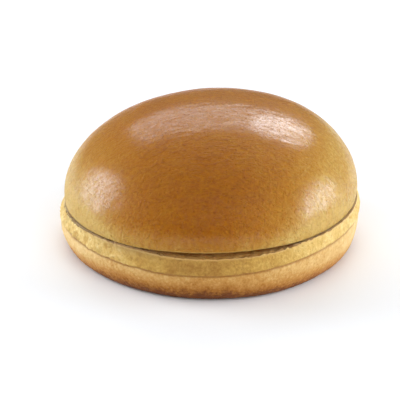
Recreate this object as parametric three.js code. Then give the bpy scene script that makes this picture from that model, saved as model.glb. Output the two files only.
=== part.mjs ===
// A sliced burger bun: a domed crown that rests on a shallow heel. The bun was baked in one and
// cut right through, so it is two bodies of bread, and the cut gapes a little at the front.
// Millimetres, +Z up, -Y the front. The origin is the middle of the flat underside.
import * as THREE from "three";
import { mergeVertices } from "three/addons/utils/BufferGeometryUtils.js";

// Driving dimensions.
const BUN_RADIUS = 50; // the widest ring, on the lip above the pan line
const BUN_HEIGHT = 48.7;
const CUT_HEIGHT = 16.5; // the knife's level, midway between the two cut faces
const CUT_GAP = 0.4; // between the cut faces where the crown rests
const CUT_SLOPE = 0.03; // how steeply the cut climbs towards +X
const SEGMENTS = 64; // round the bun

// The heel, from the floor up. The dough below the pan line took the shape of its cup.
const FOOT_RADIUS = 44.9; // the flat underside
const CUP_RADIUS = BUN_RADIUS - 0.2;
const CUP_FULLNESS = 2.25; // the exponent of the cup's rounded wall, 2 for an ellipse
const PAN_LINE_HEIGHT = 11.3;
const PAN_LINE_DEPTH = 0.45;
const PAN_LINE_HALF_WIDTH = 0.55;
const PAN_LINE_RISE = 1.1; // up at the sides and down at the front and back
const PAN_LINE_TILT = 0.8; // up at the right and down at the left, more than the cut is
const HEEL_EDGE_RADIUS = 49.1; // at the cut
const BAND_BOW = 0.35; // how far the pale band above the pan line swells

// The crown.
const CROWN_RIM_RADIUS = 48.3; // at the cut
const CROWN_RADIUS = 48.65;
const CROWN_WIDEST_HEIGHT = 19.2;
const DOME_FULLNESS_OUT = 2.11; // exponents of the dome's outline, 2 for an ellipse
const DOME_FULLNESS_UP = 1.94;
const DOME_LEAN = 3.9; // how far the top sits to the right of the middle

// The mouth, where the halves part at the front.
const MOUTH_LIFT = 0.5; // of the crown's rim
const MOUTH_DIP = 0.95; // of the heel's edge
const MOUTH_AZIMUTH = THREE.MathUtils.degToRad(4); // from the front, towards +X
const MOUTH_HALF_WIDTH = THREE.MathUtils.degToRad(27);
const MOUTH_DEPTH = 22; // from the edge in to where the faces meet again
const MOUTH_REACH = 9; // up the crown and down the heel

// Slow swells round the side, as hand-sized dough has.
const SWELL_LOBES = 3;
const SWELL_SIZE = 0.25;
const SWELL_AZIMUTH = THREE.MathUtils.degToRad(25);

const HEEL_TOP = CUT_HEIGHT - CUT_GAP / 2;
const CROWN_BOTTOM = CUT_HEIGHT + CUT_GAP / 2;

const { smoothstep } = THREE.MathUtils;

// Points of a quarter superellipse from beside its centre (right) to above or below it.
function quarterRound(centre, across, up, fullnessAcross, fullnessUp, steps) {
  const points = [];
  for (let i = 0; i <= steps; i++) {
    const turn = (i / steps) * (Math.PI / 2);
    const x = centre.x + across * Math.cos(turn) ** (2 / fullnessAcross);
    const y = centre.y + up * Math.sin(turn) ** (2 / fullnessUp);
    points.push(new THREE.Vector2(i === steps ? centre.x : x, y));
  }
  return points;
}

// Points of a level face from radius `from` to radius `to`, closer together near the outer edge.
function levelFace(height, from, to, steps) {
  const points = [];
  for (let i = 0; i <= steps; i++) {
    const share = from > to ? (i / steps) ** 1.5 : 1 - (1 - i / steps) ** 1.5;
    points.push(new THREE.Vector2(from + (to - from) * share, height));
  }
  return points;
}

// The angle round the bun from the front, positive towards +X, from -PI to PI.
function azimuthOf(point) {
  return Math.atan2(point.x, -point.y);
}

// How open the mouth is at a point: 1 at the middle of the front edge, 0 well away from it.
function mouthAt(point) {
  const aside = (azimuthOf(point) - MOUTH_AZIMUTH) / MOUTH_HALF_WIDTH;
  const edge = CROWN_RIM_RADIUS;
  const radius = Math.hypot(point.x, point.y);
  return Math.exp(-(aside ** 4)) * smoothstep(radius, edge - MOUTH_DEPTH, edge);
}

// Pushes a point out or in by the slow swells, less so near the axis.
function swell(point) {
  const radius = Math.hypot(point.x, point.y);
  const wave = Math.cos(SWELL_LOBES * (azimuthOf(point) - SWELL_AZIMUTH));
  const scale = 1 + (SWELL_SIZE * wave * radius) / BUN_RADIUS ** 2;
  point.x *= scale;
  point.y *= scale;
}

// Turns a profile round the axis, and passes every point through `shape`.
function turned(profile, shape) {
  const geometry = new THREE.LatheGeometry(profile, SEGMENTS);
  geometry.rotateX(Math.PI / 2);
  geometry.deleteAttribute("normal");
  geometry.deleteAttribute("uv");
  const position = geometry.getAttribute("position");
  const point = new THREE.Vector3();
  for (let i = 0; i < position.count; i++) {
    shape(point.fromBufferAttribute(position, i));
    position.setXYZ(i, point.x, point.y, point.z);
  }
  const merged = mergeVertices(geometry, 1e-3);
  merged.computeVertexNormals();
  return merged;
}

function shapeHeel(point) {
  const lowered = mouthAt(point) * smoothstep(point.z, HEEL_TOP - MOUTH_REACH, HEEL_TOP);
  const nearPanLine =
    point.z < PAN_LINE_HEIGHT
      ? smoothstep(point.z, 0, PAN_LINE_HEIGHT)
      : 1 - smoothstep(point.z, PAN_LINE_HEIGHT, HEEL_TOP);
  const azimuth = azimuthOf(point);
  const rise = PAN_LINE_TILT * Math.sin(azimuth) - PAN_LINE_RISE * Math.cos(2 * azimuth);
  const climb = CUT_SLOPE * point.x * smoothstep(point.z, 0, HEEL_TOP);
  point.z += rise * nearPanLine + climb - MOUTH_DIP * lowered;
  swell(point);
}

function shapeCrown(point) {
  const height = Math.max(0, point.z - CROWN_BOTTOM);
  const share = height / (BUN_HEIGHT - CROWN_BOTTOM);
  const climb = CUT_SLOPE * point.x * (1 - share) ** 2;
  point.z += climb + MOUTH_LIFT * mouthAt(point) * (1 - smoothstep(height, 0, MOUTH_REACH));
  swell(point);
  point.x += DOME_LEAN * share ** 1.5;
}

function makeHeel() {
  const cup = quarterRound(
    new THREE.Vector2(FOOT_RADIUS, PAN_LINE_HEIGHT - PAN_LINE_HALF_WIDTH),
    CUP_RADIUS - FOOT_RADIUS,
    PAN_LINE_HALF_WIDTH - PAN_LINE_HEIGHT,
    CUP_FULLNESS,
    CUP_FULLNESS,
    8,
  ).reverse();
  const panLine = new THREE.Vector2(BUN_RADIUS - PAN_LINE_DEPTH, PAN_LINE_HEIGHT);
  const lip = new THREE.Vector2(BUN_RADIUS, PAN_LINE_HEIGHT + PAN_LINE_HALF_WIDTH);
  const edge = new THREE.Vector2(HEEL_EDGE_RADIUS, HEEL_TOP);
  const middle = lip.clone().lerp(edge, 0.5);
  const band = new THREE.QuadraticBezierCurve(
    lip,
    new THREE.Vector2(middle.x + 2 * BAND_BOW, middle.y),
    edge,
  );
  const profile = [
    ...levelFace(0, 0, FOOT_RADIUS, 3).slice(0, -1),
    ...cup,
    panLine,
    ...band.getPoints(4),
    ...levelFace(HEEL_TOP, HEEL_EDGE_RADIUS, 0, 8).slice(1),
  ];
  return turned(profile, shapeHeel);
}

function makeCrown() {
  const dome = quarterRound(
    new THREE.Vector2(0, CROWN_WIDEST_HEIGHT),
    CROWN_RADIUS,
    BUN_HEIGHT - CROWN_WIDEST_HEIGHT,
    DOME_FULLNESS_OUT,
    DOME_FULLNESS_UP,
    18,
  );
  const side = new THREE.QuadraticBezierCurve(
    new THREE.Vector2(CROWN_RIM_RADIUS, CROWN_BOTTOM),
    new THREE.Vector2(CROWN_RADIUS, (CROWN_BOTTOM + CROWN_WIDEST_HEIGHT) / 2),
    new THREE.Vector2(CROWN_RADIUS, CROWN_WIDEST_HEIGHT),
  );
  const profile = [
    ...levelFace(CROWN_BOTTOM, 0, CROWN_RIM_RADIUS, 8).slice(0, -1),
    ...side.getPoints(3),
    ...dome.slice(1),
  ];
  return turned(profile, shapeCrown);
}

const glazedCrust = new THREE.MeshStandardMaterial({
  color: 0xab6e33,
  roughness: 0.35,
  metalness: 0,
});
const mattCrust = new THREE.MeshStandardMaterial({
  color: 0xcb9c58,
  roughness: 0.75,
  metalness: 0,
});

const heel = new THREE.Mesh(makeHeel(), mattCrust);
heel.name = "heel";
const crown = new THREE.Mesh(makeCrown(), glazedCrust);
crown.name = "crown";

const bun = new THREE.Group();
bun.add(heel, crown);

export default bun;
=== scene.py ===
import itertools
import math

import bpy
import numpy as np
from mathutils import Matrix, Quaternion, Vector


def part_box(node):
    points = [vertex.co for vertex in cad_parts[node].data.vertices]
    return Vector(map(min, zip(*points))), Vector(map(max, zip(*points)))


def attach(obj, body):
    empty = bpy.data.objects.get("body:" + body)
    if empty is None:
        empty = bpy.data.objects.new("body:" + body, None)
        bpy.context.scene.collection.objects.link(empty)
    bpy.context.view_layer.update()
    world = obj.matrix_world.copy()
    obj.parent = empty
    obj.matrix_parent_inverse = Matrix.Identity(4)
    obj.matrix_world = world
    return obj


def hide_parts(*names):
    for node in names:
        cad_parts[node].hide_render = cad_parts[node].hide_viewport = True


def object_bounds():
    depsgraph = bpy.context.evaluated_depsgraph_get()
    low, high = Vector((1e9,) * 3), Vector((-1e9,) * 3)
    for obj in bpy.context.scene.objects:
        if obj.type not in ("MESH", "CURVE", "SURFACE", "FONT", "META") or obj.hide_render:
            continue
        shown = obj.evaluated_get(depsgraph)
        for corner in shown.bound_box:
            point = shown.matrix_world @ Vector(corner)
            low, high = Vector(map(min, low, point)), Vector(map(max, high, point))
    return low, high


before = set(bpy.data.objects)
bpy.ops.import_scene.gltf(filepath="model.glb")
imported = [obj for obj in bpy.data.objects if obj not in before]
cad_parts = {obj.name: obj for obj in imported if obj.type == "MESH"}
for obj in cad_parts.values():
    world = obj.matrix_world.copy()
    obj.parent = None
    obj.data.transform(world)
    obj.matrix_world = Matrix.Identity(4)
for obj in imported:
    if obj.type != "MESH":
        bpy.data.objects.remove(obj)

cad_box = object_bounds()

MM = 0.001

# ---------------------------------------------------------------- sizes from the frame

heel_low, heel_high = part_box("heel")
crown_low, crown_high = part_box("crown")

BUN_RADIUS = (heel_high.y - heel_low.y) / 2
BUN_HEIGHT = crown_high.z
CROWN_RADIUS = (crown_high.y - crown_low.y) / 2

# The cut, which climbs towards +X.
CUT_HEIGHT = 16.5 * MM
CUT_GAP = 0.4 * MM
CUT_SLOPE = 0.03
HEEL_TOP = CUT_HEIGHT - CUT_GAP / 2
CROWN_BOTTOM = CUT_HEIGHT + CUT_GAP / 2

# The heel.
FOOT_RADIUS = BUN_RADIUS - 5.1 * MM
CUP_RADIUS = BUN_RADIUS - 0.2 * MM
CUP_FULLNESS = 2.25
PAN_LINE_HEIGHT = 11.3 * MM
PAN_LINE_RISE = 1.1 * MM
PAN_LINE_TILT = 0.8 * MM
HEEL_EDGE_RADIUS = BUN_RADIUS - 0.9 * MM
BAND_BOW = 0.35 * MM
FOOT_TUCK = 1.2 * MM  # how much further the wall curls under at the front right

# The crown.
CROWN_RIM_RADIUS = CROWN_RADIUS - 0.35 * MM
CROWN_WIDEST_HEIGHT = 19.2 * MM
DOME_FULLNESS_OUT = 2.11
DOME_FULLNESS_UP = 1.94
DOME_LEAN = 3.9 * MM

# The mouth, where the halves part at the front.
MOUTH_LIFT = 0.5 * MM
MOUTH_DIP = 0.95 * MM
MOUTH_AZIMUTH = math.radians(4)
MOUTH_HALF_WIDTH = math.radians(27)
MOUTH_DEPTH = 22 * MM
MOUTH_REACH = 9 * MM

# Slow swells round the side.
SWELL_LOBES = 3
SWELL_SIZE = 0.25 * MM
SWELL_AZIMUTH = math.radians(25)

RIND_DEPTH = 1.3 * MM  # how far in from the edge the crust browns a cut face
CUT_EDGE_ROUND = 0.08 * MM
EDGE_GAP = 0.12 * MM  # between the crust edges where the crown rests
LEAST_GAP = 0.02 * MM  # no point of the heel comes closer to the crown
PORE_DEPTH = 0.9 * MM  # of the crumb's bubbles

# The crown's relief.
DIMPLE_DEPTH = 0.25 * MM
SMALL_DIMPLE_DEPTH = 0.08 * MM
WRINKLE_HEIGHT = 0.05 * MM
FINE_WRINKLE_HEIGHT = 0.025 * MM
CROWN_EDGE_RAGGEDNESS = 0.12 * MM

# The heel's relief.
SLOW_UNEVENNESS = 0.16 * MM
LIP_HEIGHT = 0.14 * MM  # just above the pan line
GROOVE_DEPTH = 0.2 * MM  # of the pan line
LUMP_HEIGHT = 0.2 * MM
TEAR_HEIGHT = 0.14 * MM
TUFT_DEPTH = 0.36 * MM  # of the hollows between the torn band's tufts
PIT_DEPTH = 0.5 * MM  # of the small hollows along the pan line
GRAIN_HEIGHT = 0.075 * MM
BAND_RECESS = 0.8 * MM  # at the far left
WALL_BULGE = 0.4 * MM  # below the pan line at the left
DENT_DEPTH = 0.18 * MM  # in the underside
FRAY_HEIGHT = 0.7 * MM  # of the torn edge of the cut
NOTCH_DEPTH = 0.25 * MM

# Mesh fineness.
CROWN_CELLS = 192
CROWN_WALL_ROWS = 30
CROWN_CAP_REACH = 0.74  # the share of the dome's outline that the cap grid covers
HEEL_CELLS = 176
HEEL_WALL_ROWS = 50


# ---------------------------------------------------------------- numbers over many points


def smoothstep(value, low, high):
    share = np.clip((value - low) / (high - low), 0, 1)
    return share * share * (3 - 2 * share)


def hashed(cells, columns, seed):
    """Rows of random numbers from 0 to 1, always the same for the same whole-number cell."""
    table = np.random.default_rng(seed).random((4096, columns))
    key = cells[:, 0] * 73856093 ^ cells[:, 1] * 19349663 ^ cells[:, 2] * 83492791
    return table[key & 4095]


def noise(points, size, seed, stretch=(1, 1, 1)):
    """Smooth gradient noise from about -1 to 1, with features of that size."""
    spot = points / (size * np.array(stretch))
    cell = np.floor(spot).astype(np.int64)
    inside = spot - cell
    fade = inside**3 * (inside * (inside * 6 - 15) + 10)
    total = np.zeros(len(points))
    for corner in itertools.product((0, 1), repeat=3):
        slope = hashed(cell + corner, 3, seed) * 2 - 1
        weight = np.prod(np.where(corner, fade, 1 - fade), axis=1)
        total += weight * np.sum(slope * (inside - corner), axis=1)
    return total * 1.6


def bubbles(points, size, share, seed):
    """Round hollows in that share of the cells: 1 at the middle of each and 0 outside."""
    cell = np.floor(points / size).astype(np.int64)
    deepest = np.zeros(len(points))
    for step in itertools.product((-1, 0, 1), repeat=3):
        near = cell + step
        random = hashed(near, 5, seed)
        offset = points - (near + random[:, :3]) * size
        radius = size * (0.3 + 0.4 * random[:, 3])
        hollow = np.clip(1 - np.sum(offset * offset, axis=1) / radius**2, 0, 1)
        deepest = np.maximum(deepest, hollow * (random[:, 4] < share))
    return deepest


# ---------------------------------------------------------------- outlines


def quarter_round(centre, across, up, fullness_across, fullness_up, steps=300):
    """Points of a quarter superellipse from beside its centre to above or below it."""
    turn = np.linspace(0, math.pi / 2, steps)
    x = centre[0] + across * np.cos(turn).clip(0) ** (2 / fullness_across)
    y = centre[1] + up * np.sin(turn) ** (2 / fullness_up)
    return np.stack([x, y], axis=1)


def bow(start, middle, end, steps=60):
    """Points of a quadratic curve."""
    share = np.linspace(0, 1, steps)[:, None]
    start, middle, end = np.array(start), np.array(middle), np.array(end)
    return (1 - share) ** 2 * start + 2 * share * (1 - share) * middle + share**2 * end


def lengths_along(outline):
    steps = np.linalg.norm(np.diff(outline, axis=0), axis=1)
    return np.concatenate([[0], np.cumsum(steps)])


def points_along(outline, distances):
    """Points of an outline at the given distances along it."""
    reached = lengths_along(outline)
    x = np.interp(distances, reached, outline[:, 0])
    y = np.interp(distances, reached, outline[:, 1])
    return np.stack([x, y], axis=1)


def graded(start, end, count, focuses):
    """Distances from start to end, closer together near each (place, width, strength)."""
    fine = np.linspace(start, end, 4000)
    density = np.ones(len(fine))
    for place, width, strength in focuses:
        density += strength * np.exp(-(((fine - place) / width) ** 2))
    share = np.cumsum(density) - density[0]
    return np.interp(np.linspace(0, 1, count + 1), share / share[-1], fine)


def crown_outline():
    """From the top down to the cut, round its edge."""
    dome = quarter_round(
        (0, CROWN_WIDEST_HEIGHT),
        CROWN_RADIUS,
        BUN_HEIGHT - CROWN_WIDEST_HEIGHT,
        DOME_FULLNESS_OUT,
        DOME_FULLNESS_UP,
    )
    side = bow(
        (CROWN_RADIUS, CROWN_WIDEST_HEIGHT),
        (CROWN_RADIUS, (CROWN_BOTTOM + CROWN_WIDEST_HEIGHT) / 2),
        (CROWN_RIM_RADIUS, CROWN_BOTTOM + CUT_EDGE_ROUND),
    )
    edge = quarter_round(
        (CROWN_RIM_RADIUS - CUT_EDGE_ROUND, CROWN_BOTTOM + CUT_EDGE_ROUND),
        CUT_EDGE_ROUND,
        -CUT_EDGE_ROUND,
        2,
        2,
        20,
    )
    return np.concatenate([dome[::-1], side[1:], edge[1:]])


def heel_outline():
    """From the cut's edge down the band, across the pan line and round to the underside."""
    edge = quarter_round(
        (HEEL_EDGE_RADIUS - CUT_EDGE_ROUND, HEEL_TOP - CUT_EDGE_ROUND),
        CUT_EDGE_ROUND,
        CUT_EDGE_ROUND,
        2,
        2,
        20,
    )
    middle_radius = (HEEL_EDGE_RADIUS + BUN_RADIUS) / 2
    middle_height = (HEEL_TOP + PAN_LINE_HEIGHT) / 2
    band = bow(
        (HEEL_EDGE_RADIUS, HEEL_TOP - CUT_EDGE_ROUND),
        (middle_radius + 2 * BAND_BOW, middle_height),
        (BUN_RADIUS, PAN_LINE_HEIGHT),
    )
    cup = quarter_round(
        (FOOT_RADIUS, PAN_LINE_HEIGHT),
        CUP_RADIUS - FOOT_RADIUS,
        -PAN_LINE_HEIGHT,
        CUP_FULLNESS,
        CUP_FULLNESS,
    )
    return np.concatenate([edge[::-1], band[1:], cup])


# ---------------------------------------------------------------- closed round bodies


def ring_grid(cells):
    """A square grid bent into rings, so that it has no pole.

    Returns each point's ring number and angle, the squares, and the outer ring in order.
    """
    half = cells // 2
    steps = np.arange(-half, half + 1)
    across, along = np.meshgrid(steps, steps, indexing="ij")
    ring = np.maximum(abs(across), abs(along))
    wide = abs(across) >= abs(along)
    larger = np.where(wide, across, along)
    smaller = np.where(wide, along, across)
    slope = smaller * np.where(larger < 0, -1, 1) / np.where(ring == 0, 1, ring)
    angle = np.where(wide, slope * math.pi / 4, math.pi / 2 - slope * math.pi / 4)
    angle += np.where(larger < 0, math.pi, 0)
    index = np.arange((cells + 1) ** 2).reshape(cells + 1, cells + 1)
    squares = np.stack([index[:-1, :-1], index[1:, :-1], index[1:, 1:], index[:-1, 1:]], axis=-1)
    outer = np.concatenate([index[:-1, 0], index[-1, :-1], index[:0:-1, -1], index[0, :0:-1]])
    return ring.ravel(), angle.ravel(), squares.reshape(-1, 4), outer


def round_body(cells, cap, wall, base):
    """A closed body turned from three lists of (radius, height).

    The cap and the base run from the axis out, one pair for each ring of their grids, and the
    wall's rows lie between them, from the cap down. Returns points, quads, and each quad's
    region: 0 for the cap, 1 for the wall, 2 for the base.
    """
    ring, angle, squares, outer = ring_grid(cells)
    count = len(ring)
    around = len(outer)
    radius = np.concatenate([cap[ring, 0], np.repeat(wall[:, 0], around), base[ring, 0]])
    height = np.concatenate([cap[ring, 1], np.repeat(wall[:, 1], around), base[ring, 1]])
    turn = np.concatenate([angle, np.tile(angle[outer], len(wall)), angle])
    points = np.stack([radius * np.cos(turn), radius * np.sin(turn), height], axis=1)
    rows = [outer]
    rows += [count + row * around + np.arange(around) for row in range(len(wall))]
    base_start = count + len(wall) * around
    rows.append(base_start + outer)
    bands = []
    for upper, lower in zip(rows, rows[1:]):
        bands.append(np.stack([lower, np.roll(lower, -1), np.roll(upper, -1), upper], axis=1))
    quads = np.concatenate([squares, *bands, base_start + squares[:, ::-1]])
    wall_quads = around * len(bands)
    region = np.repeat([0, 1, 2], [len(squares), wall_quads, len(squares)])
    return points, quads, region


def normals_of(points, quads):
    """Each point's outward direction."""
    one = points[quads[:, 2]] - points[quads[:, 0]]
    other = points[quads[:, 3]] - points[quads[:, 1]]
    facing = np.cross(one, other)
    total = np.zeros_like(points)
    for corner in range(4):
        np.add.at(total, quads[:, corner], facing)
    return total / np.linalg.norm(total, axis=1, keepdims=True)


def fit_sideways(points, low, high):
    """Moves and scales the points a little, so that they are exactly as wide as the CAD node."""
    for axis in (0, 1):
        found_low, found_high = points[:, axis].min(), points[:, axis].max()
        scale = (high[axis] - low[axis]) / (found_high - found_low)
        points[:, axis] = low[axis] + (points[:, axis] - found_low) * scale


def mesh_piece(name, points, quads, material_of_quad, materials, fields):
    """A smooth mesh object with one material for each quad and named numbers on its points."""
    mesh = bpy.data.meshes.new(name)
    mesh.from_pydata(points.tolist(), [], quads.tolist())
    for material in materials:
        mesh.materials.append(material)
    mesh.polygons.foreach_set("material_index", material_of_quad.astype(np.int32))
    mesh.polygons.foreach_set("use_smooth", np.ones(len(quads), bool))
    for field, values in fields.items():
        attribute = mesh.attributes.new(field, "FLOAT", "POINT")
        attribute.data.foreach_set("value", values.astype(np.float32))
    mesh.update()
    piece = bpy.data.objects.new(name, mesh)
    bpy.context.scene.collection.objects.link(piece)
    return piece


# ---------------------------------------------------------------- the bun's shared shape


def azimuth_of(points):
    return np.arctan2(points[:, 0], -points[:, 1])


def radius_of(points):
    return np.hypot(points[:, 0], points[:, 1])


def towards(points, azimuth_degrees, half_width_degrees):
    """1 at that azimuth, falling to 0 either side of it."""
    away = azimuth_of(points) - math.radians(azimuth_degrees)
    away = (away + math.pi) % (2 * math.pi) - math.pi
    return np.exp(-((away / math.radians(half_width_degrees)) ** 2))


def mouth_at(points):
    """How open the mouth is: 1 at the middle of the front edge, 0 well away from it."""
    aside = (azimuth_of(points) - MOUTH_AZIMUTH) / MOUTH_HALF_WIDTH
    inward = smoothstep(radius_of(points), CROWN_RIM_RADIUS - MOUTH_DEPTH, CROWN_RIM_RADIUS)
    return np.exp(-(aside**4)) * inward


def swell(points):
    """Pushes the points out or in by the slow swells, less so near the axis."""
    wave = np.cos(SWELL_LOBES * (azimuth_of(points) - SWELL_AZIMUTH))
    points[:, :2] *= (1 + SWELL_SIZE * wave * radius_of(points) / BUN_RADIUS**2)[:, None]


def crumb_depth(points, seed):
    """How deep the bubbles of a cut face are, 0 to 1."""
    large = bubbles(points, 3.6 * MM, 0.16, seed)
    middling = bubbles(points, 2.0 * MM, 0.4, seed + 1)
    small = bubbles(points, 1.2 * MM, 0.75, seed + 2)
    return np.maximum(np.maximum(large, 0.75 * middling), 0.5 * small)


def rind_at(depth):
    """How much of the crust's colour a cut face has at that depth in from its edge."""
    return np.exp(-((depth.clip(0) / RIND_DEPTH) ** 2))


# ---------------------------------------------------------------- the crown


def shape_crown(points):
    """Opens the mouth, swells the side and leans the dome."""
    height = (points[:, 2] - CROWN_BOTTOM).clip(0)
    share = height / (BUN_HEIGHT - CROWN_BOTTOM)
    climb = CUT_SLOPE * points[:, 0] * (1 - share) ** 2
    lifted = MOUTH_LIFT * mouth_at(points) * (1 - smoothstep(height, 0, MOUTH_REACH))
    points[:, 2] += climb + lifted
    swell(points)
    points[:, 0] += DOME_LEAN * share**1.5


def crown_browning(points, normals):
    """How brown the glazed crust is baked, 0 to 1: most at the front and back, least low down and
    at the sides, where the dough stood close to its neighbours in the oven."""
    share = ((points[:, 2] - CROWN_BOTTOM) / (BUN_HEIGHT - CROWN_BOTTOM)).clip(0, 1)
    sideways = ((normals[:, 0] + 0.1) ** 2 / 0.55).clip(0, 1) * (1 - 0.55 * share)
    upwards = normals[:, 2].clip(0) ** 4
    low = 1 - smoothstep(share, 0, 0.26)
    return (0.9 - 0.92 * sideways - 0.16 * upwards - 0.36 * low).clip(0, 1)


def crust_relief(points):
    """The skin's slow dimples, and the glaze's wrinkles along X on top and upright at the right."""
    dimples = DIMPLE_DEPTH * noise(points, 24 * MM, 11)
    dimples += SMALL_DIMPLE_DEPTH * noise(points, 9 * MM, 12)
    wavy = noise(points, 3.4 * MM, 13, (3.2, 1, 2.6))
    fine = noise(points, 2.0 * MM, 16, (3.0, 1, 2.6))
    crinkled = (0.6 + 0.6 * noise(points, 11 * MM, 14)).clip(0)
    crinkled *= 0.55 + 0.45 * smoothstep(points[:, 0], -45 * MM, 10 * MM)
    wrinkles = WRINKLE_HEIGHT * (1 - 2 * abs(wavy)) + FINE_WRINKLE_HEIGHT * (1 - 2 * abs(fine))
    return dimples + crinkled * wrinkles


def crown_body():
    """The turned crown, before it is shaped: points, quads and regions."""
    outline = crown_outline()
    length = lengths_along(outline)[-1]
    cap_edge = CROWN_CAP_REACH * length
    cap = points_along(outline, np.linspace(0, cap_edge, CROWN_CELLS // 2 + 1))
    rows = graded(cap_edge, length, CROWN_WALL_ROWS, [(length, 1.2 * MM, 5)])
    wall = points_along(outline, rows[1:-1])
    base_radius = np.linspace(0, outline[-1, 0], CROWN_CELLS // 2 + 1)
    base = np.stack([base_radius, np.full(len(base_radius), CROWN_BOTTOM)], axis=1)
    return round_body(CROWN_CELLS, cap, wall, base)


def make_crown():
    points, quads, region = crown_body()
    above_cut = points[:, 2] - CROWN_BOTTOM
    share = (above_cut / (BUN_HEIGHT - CROWN_BOTTOM)).clip(0, 1)
    shape_crown(points)
    on_crust = smoothstep(above_cut, 0, 0.5 * MM)
    near_edge = np.exp(-((above_cut / (0.35 * MM)) ** 2))
    inside = smoothstep(CROWN_RIM_RADIUS - radius_of(points), 0.2 * MM, 1.5 * MM)
    pore = crumb_depth(points, 31) * (1 - on_crust)
    normals = normals_of(points, quads)
    ragged = CROWN_EDGE_RAGGEDNESS * noise(points, 1.3 * MM, 15) * near_edge
    relief = crust_relief(points) * on_crust - PORE_DEPTH * pore * inside
    points += normals * relief[:, None]
    points[:, 2] += ragged.clip(0)
    points[:, 2] += (BUN_HEIGHT - points[:, 2].max()) * share
    points[:, 2] = points[:, 2].clip(None, BUN_HEIGHT)
    fields = {
        "pore": pore,
        "rind": rind_at(CROWN_RIM_RADIUS - radius_of(points)),
        # painted shade: the crown's crumb in the open mouth's gap
        "painted_mouth_shade": np.sqrt(mouth_at(points)),
        "cut": np.exp(-((above_cut / (0.4 * MM)) ** 2)),
        "browning": crown_browning(points, normals),
    }
    materials = [glazed_crust(), crumb()]
    crown = mesh_piece("crown_bread", points, quads, region == 2, materials, fields)
    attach(crown, "root")
    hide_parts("crown")


# ---------------------------------------------------------------- the heel


def heel_browning(points):
    """How brown the heel is baked, 0 to 1: most near the foot and at the front and back, and
    evenly on the underside. Near the foot it is partly the pan's browning and partly painted
    contact shade."""
    # browner towards the foot from the pan, and darkest at the foot itself as painted contact shade
    low = 1 - smoothstep(points[:, 2], 0, 0.85 * PAN_LINE_HEIGHT)
    ahead = np.cos(azimuth_of(points)) ** 2
    wall = 0.12 + 0.36 * ahead + 0.57 * low + 0.03 * towards(points, 60, 35)
    wall += 0.14 * low * towards(points, -48, 28)
    in_from_foot = smoothstep(FOOT_RADIUS - radius_of(points), -1 * MM, 7 * MM)
    underneath = in_from_foot * (points[:, 2] < 1 * MM)
    even = 0.58 + 0.1 * noise(points, 17 * MM, 36) + 0.08 * noise(points, 6 * MM, 37)
    return wall + (even - wall) * underneath


def shape_heel(points):
    """Dips the mouth's lower lip, tilts the cut, bends the pan line and swells the side."""
    height = points[:, 2].copy()
    lowered = mouth_at(points) * smoothstep(height, HEEL_TOP - MOUTH_REACH, HEEL_TOP)
    below = smoothstep(height, 0, PAN_LINE_HEIGHT)
    above = 1 - smoothstep(height, PAN_LINE_HEIGHT, HEEL_TOP)
    near_pan_line = np.where(height < PAN_LINE_HEIGHT, below, above)
    azimuth = azimuth_of(points)
    rise = PAN_LINE_TILT * np.sin(azimuth) - PAN_LINE_RISE * np.cos(2 * azimuth)
    climb = CUT_SLOPE * points[:, 0] * smoothstep(height, 0, HEEL_TOP)
    tucked = FOOT_TUCK * towards(points, 50, 34) * (1 - smoothstep(height, 0, 9 * MM))
    points[:, :2] *= (1 - tucked / BUN_RADIUS)[:, None]
    points[:, 2] += rise * near_pan_line + climb - MOUTH_DIP * lowered
    swell(points)


def heel_body():
    """The turned heel, before it is shaped: points, quads and regions."""
    outline = heel_outline()
    length = lengths_along(outline)[-1]
    pan_line = np.interp(-PAN_LINE_HEIGHT, -outline[:, 1], lengths_along(outline))
    focuses = [(0, 0.6 * MM, 5), (pan_line, 0.9 * MM, 4)]
    rows = graded(0, length, HEEL_WALL_ROWS, focuses)
    wall = points_along(outline, rows[1:-1])
    cap_radius = np.linspace(0, outline[0, 0], HEEL_CELLS // 2 + 1)
    cap = np.stack([cap_radius, np.full(len(cap_radius), HEEL_TOP)], axis=1)
    base_radius = np.linspace(0, FOOT_RADIUS, HEEL_CELLS // 2 + 1)
    base = np.stack([base_radius, np.zeros(len(base_radius))], axis=1)
    return round_body(HEEL_CELLS, cap, wall, base)


class HeelPlaces:
    """Where each point lies on the heel, from its turned place and its shaped place."""

    def __init__(self, turned, shaped):
        self.turned = turned
        self.from_line = turned[:, 2] - PAN_LINE_HEIGHT
        self.below_cut = HEEL_TOP - turned[:, 2]
        self.in_from_edge = HEEL_EDGE_RADIUS - radius_of(turned)
        self.on_side = turned[:, 2] > 0
        self.left = towards(shaped, -62, 34)
        self.torn = 0.15 + 0.85 * self.left + 0.25 * towards(shaped, 62, 30)
        self.on_cut = 1 - smoothstep(self.below_cut, 0, 0.5 * MM)
        self.on_band = smoothstep(self.from_line, -0.1 * MM, 0.5 * MM) * (1 - self.on_cut)
        self.on_wall = (1 - smoothstep(self.from_line, -0.5 * MM, 0)) * self.on_side
        self.inside = smoothstep(self.in_from_edge, 0.2 * MM, 1.5 * MM)
        wander = 0.3 * MM * noise(shaped, 5 * MM, 21) + 0.12 * MM * noise(shaped, 1.8 * MM, 32)
        self.from_crease = self.from_line + wander * (0.5 + self.left)


class HeelTexture:
    """The crumb's bubbles, the pits along the pan line, and the band's lumps, tears and tufts."""

    def __init__(self, points, at):
        near_crease = np.exp(-(((at.from_crease - 0.3 * MM) / (0.8 * MM)) ** 2))
        large_tufts = bubbles(points, 2.4 * MM, 0.5, 24)
        small_tufts = bubbles(points, 1.4 * MM, 0.5, 34)
        self.pore = crumb_depth(points, 41) * at.on_cut
        self.pits = bubbles(points, 1.7 * MM, 0.55, 33) * near_crease * (0.15 + 0.85 * at.left)
        self.lumps = noise(points, 3.4 * MM, 22) + 0.6 * noise(points, 1.6 * MM, 23)
        self.tears = 1 - 2 * abs(noise(points, 2.6 * MM, 35, (1.6, 1.6, 1)))
        self.tufts = np.maximum(large_tufts, 0.7 * small_tufts)


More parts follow.
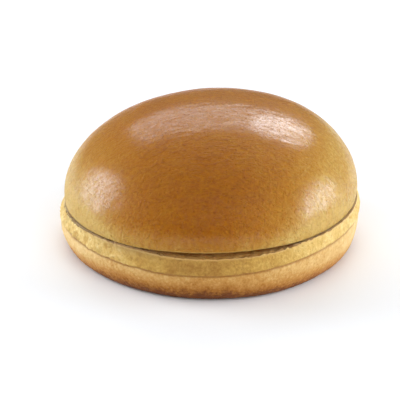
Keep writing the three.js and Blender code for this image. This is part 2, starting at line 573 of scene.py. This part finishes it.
def heel_relief(points, at, texture):
    """How far each point stands out from the smooth heel."""
    groove = np.exp(-((at.from_crease / (0.27 * MM)) ** 2))
    lip = np.exp(-(((at.from_crease - 0.7 * MM) / (0.45 * MM)) ** 2))
    recess = towards(at.turned, -86, 32) * smoothstep(at.from_line, 0.5 * MM, 4 * MM)
    bulge = at.left * at.on_side * np.exp(-(((at.from_line + 3.5 * MM) / (3 * MM)) ** 2))
    grain = noise(points, 1.7 * MM, 25) + 0.8 * noise(points, 1.0 * MM, 26)
    rough = LUMP_HEIGHT * texture.lumps + TEAR_HEIGHT * texture.tears - TUFT_DEPTH * texture.tufts
    relief = at.on_side * SLOW_UNEVENNESS * noise(points, 14 * MM, 27)
    relief += at.on_side * (LIP_HEIGHT * lip - GROOVE_DEPTH * groove)
    relief += at.on_band * at.torn * rough
    relief += WALL_BULGE * bulge - BAND_RECESS * recess
    relief += at.on_wall * GRAIN_HEIGHT * grain
    relief -= PIT_DEPTH * texture.pits
    relief -= PORE_DEPTH * texture.pore * at.inside
    return relief


def heel_edge_lift(points, at):
    """How far the cut's edge is raised: nearly to the crown where it rests, frayed at the front
    right and the left, notched in the mouth, and sloping down on the outside."""
    ragged = noise(points, 1.5 * MM, 28) + 0.7 * noise(points, 0.9 * MM, 29)
    near_edge = np.exp(-((at.below_cut / (0.6 * MM)) ** 2))
    mouth = mouth_at(points)
    opening = CUT_GAP + (MOUTH_LIFT + MOUTH_DIP) * mouth
    frayed = towards(at.turned, 38, 30) + towards(at.turned, -62, 26)
    closed = EDGE_GAP * (1 - 0.75 * at.left)
    settled = (CUT_GAP - closed) * (1 - mouth)
    raised = (settled + FRAY_HEIGHT * frayed * (ragged - 0.1)).clip(0, opening - closed)
    notched = NOTCH_DEPTH * (-ragged).clip(0) * mouth
    reaching = 1 - smoothstep(at.in_from_edge, 0.9 * MM, 2.6 * MM)
    outside = smoothstep(radius_of(at.turned), CROWN_RIM_RADIUS, HEEL_EDGE_RADIUS)
    sloped = MM * (0.12 + 0.26 * at.left) * (1 - mouth) * outside
    return near_edge * (reaching * (raised - notched) - sloped)


def heel_fields(points, at, texture):
    """The named numbers that the heel's materials read."""
    between_lumps = 0.8 * texture.tufts - 0.35 * texture.lumps
    raised = 0.6 * texture.lumps + 0.4 * texture.tears
    below_edge = np.exp(-((at.below_cut / (1.6 * MM)) ** 2)) * (1 - at.inside)
    return {
        "pore": texture.pore,
        "rind": rind_at(at.in_from_edge),
        # painted shade: the heel's crumb in the open mouth's gap
        "painted_mouth_shade": np.sqrt(mouth_at(at.turned)),
        "cut": np.exp(-((at.below_cut / (0.35 * MM)) ** 2)),
        "band": at.on_band,
        # painted shade along the pan line's crease
        "groove": np.exp(-((at.from_crease / (0.5 * MM)) ** 2)) * at.on_side,
        "torn": at.torn * at.on_band,
        # painted shade in the pits and between the band's lumps (hollow), and painted light on its
        # raised lumps and tears
        "hollow": (texture.pits + at.on_band * at.torn * between_lumps).clip(0, 1),
        "painted_tuft_light": (at.on_band * at.torn * raised).clip(0, 1),
        # painted shade: the band's top and the cut's edge left of the mouth, darkened where the
        # crown's overhang shades them
        "painted_overhang_shade": towards(at.turned, -32, 15) * below_edge * at.on_side,
        "browning": heel_browning(points),
        "toasted": np.cos(azimuth_of(at.turned)) ** 8,
    }


def make_heel():
    points, quads, region = heel_body()
    turned = points.copy()
    shape_heel(points)
    at = HeelPlaces(turned, points)
    texture = HeelTexture(points, at)
    normals = normals_of(points, quads)
    points += normals * heel_relief(points, at, texture)[:, None]
    points[:, 2] += heel_edge_lift(points, at)
    dents = DENT_DEPTH * noise(points, 7 * MM, 30).clip(0)
    underneath = (turned[:, 2] <= 0) * smoothstep(FOOT_RADIUS - radius_of(turned), 0, 4 * MM)
    points[:, 2] += dents * underneath
    crown_face = CROWN_BOTTOM + CUT_SLOPE * points[:, 0] + MOUTH_LIFT * mouth_at(points)
    points[:, 2] = points[:, 2].clip(heel_low.z, crown_face - LEAST_GAP)
    fit_sideways(points, heel_low, heel_high)
    materials = [matt_crust(), crumb()]
    fields = heel_fields(points, at, texture)
    heel = mesh_piece("heel_bread", points, quads, region == 0, materials, fields)
    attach(heel, "root")
    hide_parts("heel")


# ---------------------------------------------------------------- materials


class Finish:
    """One material, built node by node around its Principled shader."""

    def __init__(self, name):
        self.material = bpy.data.materials.new(name)
        self.material.use_nodes = True
        self.tree = self.material.node_tree
        self.shader = self.tree.nodes["Principled BSDF"]
        self.place = self.node("ShaderNodeTexCoord").outputs["Object"]

    def node(self, kind, inputs=None, **settings):
        made = self.tree.nodes.new(kind)
        for setting, value in settings.items():
            setattr(made, setting, value)
        for socket, value in (inputs or {}).items():
            self.feed(made.inputs[socket], value)
        return made

    def feed(self, socket, value):
        if isinstance(value, bpy.types.NodeSocket):
            self.tree.links.new(value, socket)
        else:
            socket.default_value = value

    def set(self, **values):
        """Sets or links the shader's own sockets; an underscore stands for a space."""
        for name, value in values.items():
            self.feed(self.shader.inputs[name.replace("_", " ")], value)

    def field(self, name):
        return self.node("ShaderNodeAttribute", attribute_name=name).outputs["Fac"]

    def height(self):
        return self.node("ShaderNodeSeparateXYZ", {0: self.place}).outputs["Z"]

    def sum(self, *values):
        total = values[0]
        for value in values[1:]:
            total = self.maths("ADD", total, value)
        return total

    def maths(self, operation, first, second=0.0):
        return self.node("ShaderNodeMath", {0: first, 1: second}, operation=operation).outputs[0]

    def times(self, first, second):
        return self.maths("MULTIPLY", first, second)

    def spread(self, value, low, high, to_low=0.0, to_high=1.0):
        """Maps low..high to to_low..to_high smoothly, and holds the ends."""
        inputs = {"Value": value, "From Min": low, "From Max": high}
        inputs.update({"To Min": to_low, "To Max": to_high})
        return self.node("ShaderNodeMapRange", inputs, interpolation_type="SMOOTHSTEP").outputs[0]

    def noise(self, size, detail=2.0, roughness=0.5, stretch=(1, 1, 1), twist=0.0):
        """Noise round 0 from about -1 to 1, with features of that size."""
        place = self.place
        if stretch != (1, 1, 1):
            scale = tuple(1 / s for s in stretch)
            place = self.node("ShaderNodeMapping", {"Vector": place, "Scale": scale}).outputs[0]
        inputs = {"Vector": place, "Scale": 1 / size, "Detail": detail}
        inputs.update({"Roughness": roughness, "Distortion": twist})
        value = self.node("ShaderNodeTexNoise", inputs).outputs[0]
        return self.spread_line(value, 0.25, 0.75, -1.0, 1.0)

    def spread_line(self, value, low, high, to_low, to_high):
        """Maps low..high to to_low..to_high in a straight line, and holds the ends."""
        inputs = {"Value": value, "From Min": low, "From Max": high}
        inputs.update({"To Min": to_low, "To Max": to_high})
        return self.node("ShaderNodeMapRange", inputs).outputs[0]

    def specks(self, size, low, high):
        """Round specks: 1 within low of a scattered point, 0 beyond high, in shares of size."""
        inputs = {"Vector": self.place, "Scale": 1 / size, "Randomness": 1.0}
        distance = self.node("ShaderNodeTexVoronoi", inputs).outputs["Distance"]
        return self.spread(distance, low, high, 1.0, 0.0)

    def ramp(self, value, stops):
        """Colours along a value: stops are (place, (red, green, blue)) in linear light."""
        made = self.node("ShaderNodeValToRGB", {0: value})
        elements = made.color_ramp.elements
        elements[0].position = stops[0][0]
        elements[0].color = (*stops[0][1], 1)
        elements[1].position = stops[-1][0]
        elements[1].color = (*stops[-1][1], 1)
        for place, colour in stops[1:-1]:
            elements.new(place).color = (*colour, 1)
        return made.outputs[0]

    def mix(self, share, first, second):
        made = self.node("ShaderNodeMix", data_type="RGBA", clamp_factor=True)
        first = (*first, 1) if isinstance(first, tuple) else first
        second = (*second, 1) if isinstance(second, tuple) else second
        self.feed(made.inputs[0], share)
        self.feed(made.inputs[6], first)
        self.feed(made.inputs[7], second)
        return made.outputs[2]

    def bump(self, height, depth):
        """Bump from a height field round 0, where 1 stands depth proud."""
        inputs = {"Height": height, "Distance": depth, "Strength": 1.0}
        return self.node("ShaderNodeBump", inputs).outputs[0]


def glazed_crust():
    """Egg-glazed crust: brown on top, golden low down, finely pored and wrinkled."""
    f = Finish("glazed_crust")
    share = f.spread_line(f.height(), CROWN_BOTTOM, BUN_HEIGHT, 0.0, 1.0)
    blotches = f.noise(26 * MM, 2.0)
    mottle = f.noise(5 * MM, 3.0, 0.6)
    speckle = f.noise(1.1 * MM, 3.0, 0.7)
    pores = f.specks(1.2 * MM, 0.06, 0.34)
    streaks = f.noise(1.3 * MM, 2.0, 0.6, (1, 1, 9))
    low = f.spread(share, 0.05, 0.5, 1.0, 0.0)
    wavy = f.maths("ABSOLUTE", f.noise(1.7 * MM, 2.0, 0.5, (3.2, 1, 2.6), 0.9))
    ridges = f.spread(wavy, 0.0, 0.45, 1.0, -0.5)
    browning = f.sum(
        f.field("browning"),
        f.times(blotches, 0.08),
        f.times(mottle, 0.07),
        f.times(f.times(streaks, low), 0.1),
        # painted shade: browner in the sunk pores
        f.times(pores, 0.13),
        f.times(speckle, 0.18),
    )
    baked = f.ramp(
        browning,
        [
            (0.0, (0.65, 0.43, 0.12)),
            (0.25, (0.54, 0.298, 0.054)),
            (0.5, (0.465, 0.200, 0.017)),
            (0.75, (0.405, 0.140, 0.003)),
            (1.0, (0.33, 0.092, 0.001)),
        ],
    )
    f.set(Base_Color=f.mix(f.times(f.field("cut"), 0.6), baked, (0.66, 0.42, 0.13)))
    f.set(Roughness=0.5, Specular_IOR_Level=0.07)
    grain = f.times(speckle, f.spread(share, 0.3, 0.8, 0.2, 0.22))
    glaze = f.sum(0.34, f.times(ridges, 0.14), grain, f.times(pores, -0.2))
    glaze = f.times(glaze, f.spread(share, 0.0, 0.3, 0.4, 1.0))
    glaze = f.times(glaze, f.spread(f.field("browning"), 0.72, 0.9, 1.0, 0.6))
    glaze = f.times(glaze, f.spread_line(f.field("cut"), 0.0, 1.0, 1.0, 0.1))
    dullness = f.spread(share, 0.3, 0.8, 0.27, 0.2)
    f.set(Coat_Weight=glaze, Coat_Roughness=f.sum(dullness, f.times(mottle, 0.03)), Coat_IOR=1.9)
    f.set(Subsurface_Weight=0.12, Subsurface_Radius=(0.004, 0.0018, 0.0007), Subsurface_Scale=1.0)
    relief = f.sum(f.times(ridges, 0.4), f.times(speckle, 0.75), f.times(pores, -0.6))
    f.set(Normal=f.bump(relief, 0.28 * MM))
    return f.material


def wall_colour(f, grain, flecks, mottle, blotches, pits):
    """The pan-baked wall and underside: golden, and brown near the foot, where the darkest end is
    partly painted contact shade.
    """
    browning = f.sum(
        f.field("browning"),
        f.times(grain, 0.15),
        f.times(flecks, -0.09),
        # painted shade: browner in the sunk pits
        f.times(pits, 0.08),
        f.times(mottle, 0.07),
        f.times(blotches, 0.08),
    )
    return f.ramp(
        browning,
        [
            (0.0, (0.86, 0.65, 0.31)),
            (0.3, (0.75, 0.49, 0.18)),
            (0.55, (0.60, 0.305, 0.072)),
            (0.8, (0.43, 0.165, 0.02)),
            # darkest at the foot: partly painted contact shade
            (1.0, (0.19, 0.052, 0.006)),
        ],
    )


def band_colour(f, grain, flecks, mottle, blotches):
    """The band above the pan line: cream at the sides, darker at the front, olive where torn."""
    torn = f.field("torn")
    paleness = f.sum(
        f.times(f.field("toasted"), -0.48),
        f.times(f.field("browning"), -0.2),
        0.67,
        f.times(mottle, 0.12),
        f.times(blotches, 0.08),
        f.times(grain, f.spread_line(torn, 0.0, 1.0, 0.16, 0.24)),
        f.times(f.times(flecks, torn), 0.14),
        # painted light on the raised tufts, and painted shade in the hollows
        f.times(f.field("painted_tuft_light"), 0.16),
        f.times(f.field("hollow"), -0.25),
    )
    pale = f.ramp(
        paleness,
        [
            (0.0, (0.38, 0.18, 0.03)),
            (0.3, (0.58, 0.34, 0.07)),
            (0.55, (0.72, 0.48, 0.14)),
            (0.8, (0.86, 0.66, 0.28)),
            (1.0, (0.95, 0.82, 0.50)),
        ],
    )
    olive = f.times(f.spread(f.noise(6 * MM, 2.0, 0.6), 0.0, 0.8), torn)
    return f.mix(f.times(olive, 0.45), pale, (0.50, 0.36, 0.10))


def matt_crust():
    """The heel's side and underside: a pale torn band over a speckled, pan-baked wall."""
    f = Finish("matt_crust")
    grain = f.noise(1.0 * MM, 3.0, 0.7)
    flecks = f.specks(1.6 * MM, 0.1, 0.4)
    pits = f.specks(1.9 * MM, 0.05, 0.3)
    mottle = f.noise(3.5 * MM, 3.0, 0.6)
    blotches = f.noise(14 * MM, 2.0)
    wall = wall_colour(f, grain, flecks, mottle, blotches, pits)
    band = band_colour(f, grain, flecks, mottle, blotches)
    skin = f.mix(f.field("band"), wall, band)
    # painted shade in the hollows
    skin = f.mix(f.times(f.field("hollow"), 0.3), skin, (0.34, 0.14, 0.03))
    # painted shade in the torn band's pits
    skin = f.mix(f.times(f.times(pits, f.field("torn")), 0.6), skin, (0.36, 0.19, 0.05))
    # painted shade along the pan line's crease
    skin = f.mix(f.times(f.field("groove"), 0.75), skin, (0.37, 0.15, 0.028))
    # painted shade under the crown's overhang, at the band's top left of the mouth
    skin = f.mix(f.times(f.field("painted_overhang_shade"), 0.75), skin, (0.32, 0.18, 0.05))
    skin = f.mix(f.times(f.field("cut"), 0.3), skin, (0.82, 0.60, 0.24))
    f.set(Base_Color=skin, Roughness=f.sum(0.62, f.times(grain, 0.08)), Specular_IOR_Level=0.3)
    f.set(Subsurface_Weight=0.12, Subsurface_Radius=(0.004, 0.002, 0.0009), Subsurface_Scale=1.0)
    relief = f.sum(f.times(grain, 0.7), f.times(pits, -0.6), f.times(f.noise(1.8 * MM, 2.0), 0.5))
    f.set(Normal=f.bump(relief, 0.18 * MM))
    return f.material


def crumb():
    """The cut faces: soft pale bread, browner near the crust, and painted darker as painted shade
    in the bubbles, in the open mouth's gap, and under the crown's overhang at the mouth's left end.
    Only the heel has the field for the last of these."""
    f = Finish("crumb")
    fine = f.noise(0.6 * MM, 3.0, 0.65)
    mottle = f.noise(4 * MM, 2.0)
    # painted shade: darker in the crumb's bubbles
    light = f.sum(0.72, f.times(fine, 0.2), f.times(mottle, 0.12), f.times(f.field("pore"), -0.45))
    colour = f.ramp(
        light,
        [
            (0.0, (0.55, 0.30, 0.10)),
            (0.4, (0.80, 0.56, 0.26)),
            (0.7, (0.88, 0.70, 0.41)),
            (1.0, (0.93, 0.83, 0.60)),
        ],
    )
    # painted shade in the open mouth's gap, darker and browner
    colour = f.mix(f.times(f.field("painted_mouth_shade"), 0.85), colour, (0.80, 0.42, 0.085))
    colour = f.mix(f.times(f.field("rind"), 0.8), colour, (0.33, 0.165, 0.055))
    # painted shade under the crown's overhang, at the cut's edge left of the mouth
    colour = f.mix(f.times(f.field("painted_overhang_shade"), 0.25), colour, (0.28, 0.12, 0.025))
    f.set(Base_Color=colour, Roughness=0.85, Specular_IOR_Level=0.2)
    f.set(Subsurface_Weight=0.2, Subsurface_Radius=(0.004, 0.003, 0.0015), Subsurface_Scale=1.0)
    f.set(Normal=f.bump(f.sum(fine, f.times(f.noise(1.2 * MM, 2.0), 0.6)), 0.2 * MM))
    return f.material


# ---------------------------------------------------------------- camera, floor and lights

VIEW_TARGET = Vector((0, 0, 25 * MM))
VIEW_ELEVATION = math.radians(22.92)
VIEW_DISTANCE = 0.6
VIEW_LENS = 162.7
VIEW_ASIDE = -3.5 * MM  # how far to the right of the target the camera aims; negative is left
VIEW_BELOW = 10.2 * MM  # how far below the target it aims
VIEW_ROLL = math.radians(0.6)

LAMP_DISTANCE = 0.7
COOL_WHITE = (0.98, 1.0, 1.04)
ROOM_LIGHT = 0.16  # the strength of the white surroundings, which the camera sees at 1
FLOOR_RADIUS = 0.48  # past the frame from the front, and short of where the lamps' light fades
FLOOR_CORNERS = 96


def direction(azimuth, elevation):
    """A unit vector towards an azimuth and an elevation, both in radians."""
    level = math.cos(elevation)
    return Vector((level * math.sin(azimuth), -level * math.cos(azimuth), math.sin(elevation)))


def make_camera():
    camera = bpy.data.objects.new("camera", bpy.data.cameras.new("camera"))
    bpy.context.scene.collection.objects.link(camera)
    camera.data.lens = VIEW_LENS
    camera.data.clip_start = 0.01
    camera.data.clip_end = 100
    back = direction(0, VIEW_ELEVATION)
    right = Vector((1, 0, 0))
    up = back.cross(right)
    aim = VIEW_TARGET + VIEW_ASIDE * right - VIEW_BELOW * up
    camera.location = VIEW_TARGET + VIEW_DISTANCE * back
    look = (camera.location - aim).to_track_quat("Z", "Y")
    roll = Quaternion((0, 0, 1), VIEW_ROLL)
    camera.rotation_euler = (look @ roll).to_euler()
    bpy.context.scene.camera = camera


def softbox(name, azimuth, elevation, width, height, brightness, shows=True, rounded=False):
    """An area light facing the bun. One that doesn't show lights it without a highlight, and
    one that shows is a little cool."""
    light = bpy.data.lights.new(name, "AREA")
    light.shape = "ELLIPSE" if rounded else "RECTANGLE"
    light.size = width
    light.size_y = height
    area = width * height * (math.pi / 4 if rounded else 1)
    light.energy = brightness * math.pi * area
    light.color = COOL_WHITE if shows else (1, 1, 1)
    lamp = bpy.data.objects.new(name, light)
    bpy.context.scene.collection.objects.link(lamp)
    towards_lamp = direction(math.radians(azimuth), math.radians(elevation))
    lamp.location = VIEW_TARGET + LAMP_DISTANCE * towards_lamp
    lamp.rotation_euler = towards_lamp.to_track_quat("Z", "Y").to_euler()
    lamp.visible_camera = False
    lamp.visible_glossy = shows
    return lamp


def make_lights():
    """Each softbox: azimuth and elevation in degrees, width and height, and brightness."""
    softbox("back_softbox", 180, 37, 0.70, 0.30, 2.7)
    sheen = softbox("back_right_softbox", 153, 37, 0.34, 0.26, 6.4, rounded=True)
    sheen.visible_diffuse = False
    softbox("left_softbox", -103, 14, 0.50, 0.50, 6.5, rounded=True)
    softbox("right_softbox", 90, 8, 0.50, 0.52, 7.1, rounded=True)
    softbox("ceiling", 0, 90, 1.4, 1.4, 0.53, shows=False)
    softbox("front_fill", 10, 38, 0.8, 0.6, 1.5, shows=False)


def make_world():
    world = bpy.data.worlds.new("studio")
    bpy.context.scene.world = world
    world.use_nodes = True
    nodes = world.node_tree.nodes
    links = world.node_tree.links
    backdrop = nodes.new("ShaderNodeMapRange")
    backdrop.inputs["To Min"].default_value = ROOM_LIGHT
    backdrop.inputs["To Max"].default_value = 1.0
    links.new(nodes.new("ShaderNodeLightPath").outputs["Is Camera Ray"], backdrop.inputs["Value"])
    links.new(backdrop.outputs[0], nodes["Background"].inputs["Strength"])
    nodes["Background"].inputs["Color"].default_value = (1, 1, 1, 1)


def make_floor():
    mesh = bpy.data.meshes.new("floor")
    level = cad_box[0].z
    turns = [2 * math.pi * i / FLOOR_CORNERS for i in range(FLOOR_CORNERS)]
    rim = [(FLOOR_RADIUS * math.cos(t), FLOOR_RADIUS * math.sin(t), level) for t in turns]
    mesh.from_pydata(rim, [], [range(FLOOR_CORNERS)])
    floor = bpy.data.objects.new("floor", mesh)
    bpy.context.scene.collection.objects.link(floor)
    f = Finish("white_floor")
    shade = f.spread(f.noise(0.4, 1.0), -1.0, 1.0)
    f.set(Base_Color=f.mix(shade, (0.91, 0.93, 0.955), (0.93, 0.95, 0.975)))
    f.set(Roughness=0.9, Specular_IOR_Level=0.1)
    mesh.materials.append(f.material)


make_camera()
make_floor()
make_world()
make_lights()
make_crown()
make_heel()
bpy.context.scene.view_settings.view_transform = "Standard"
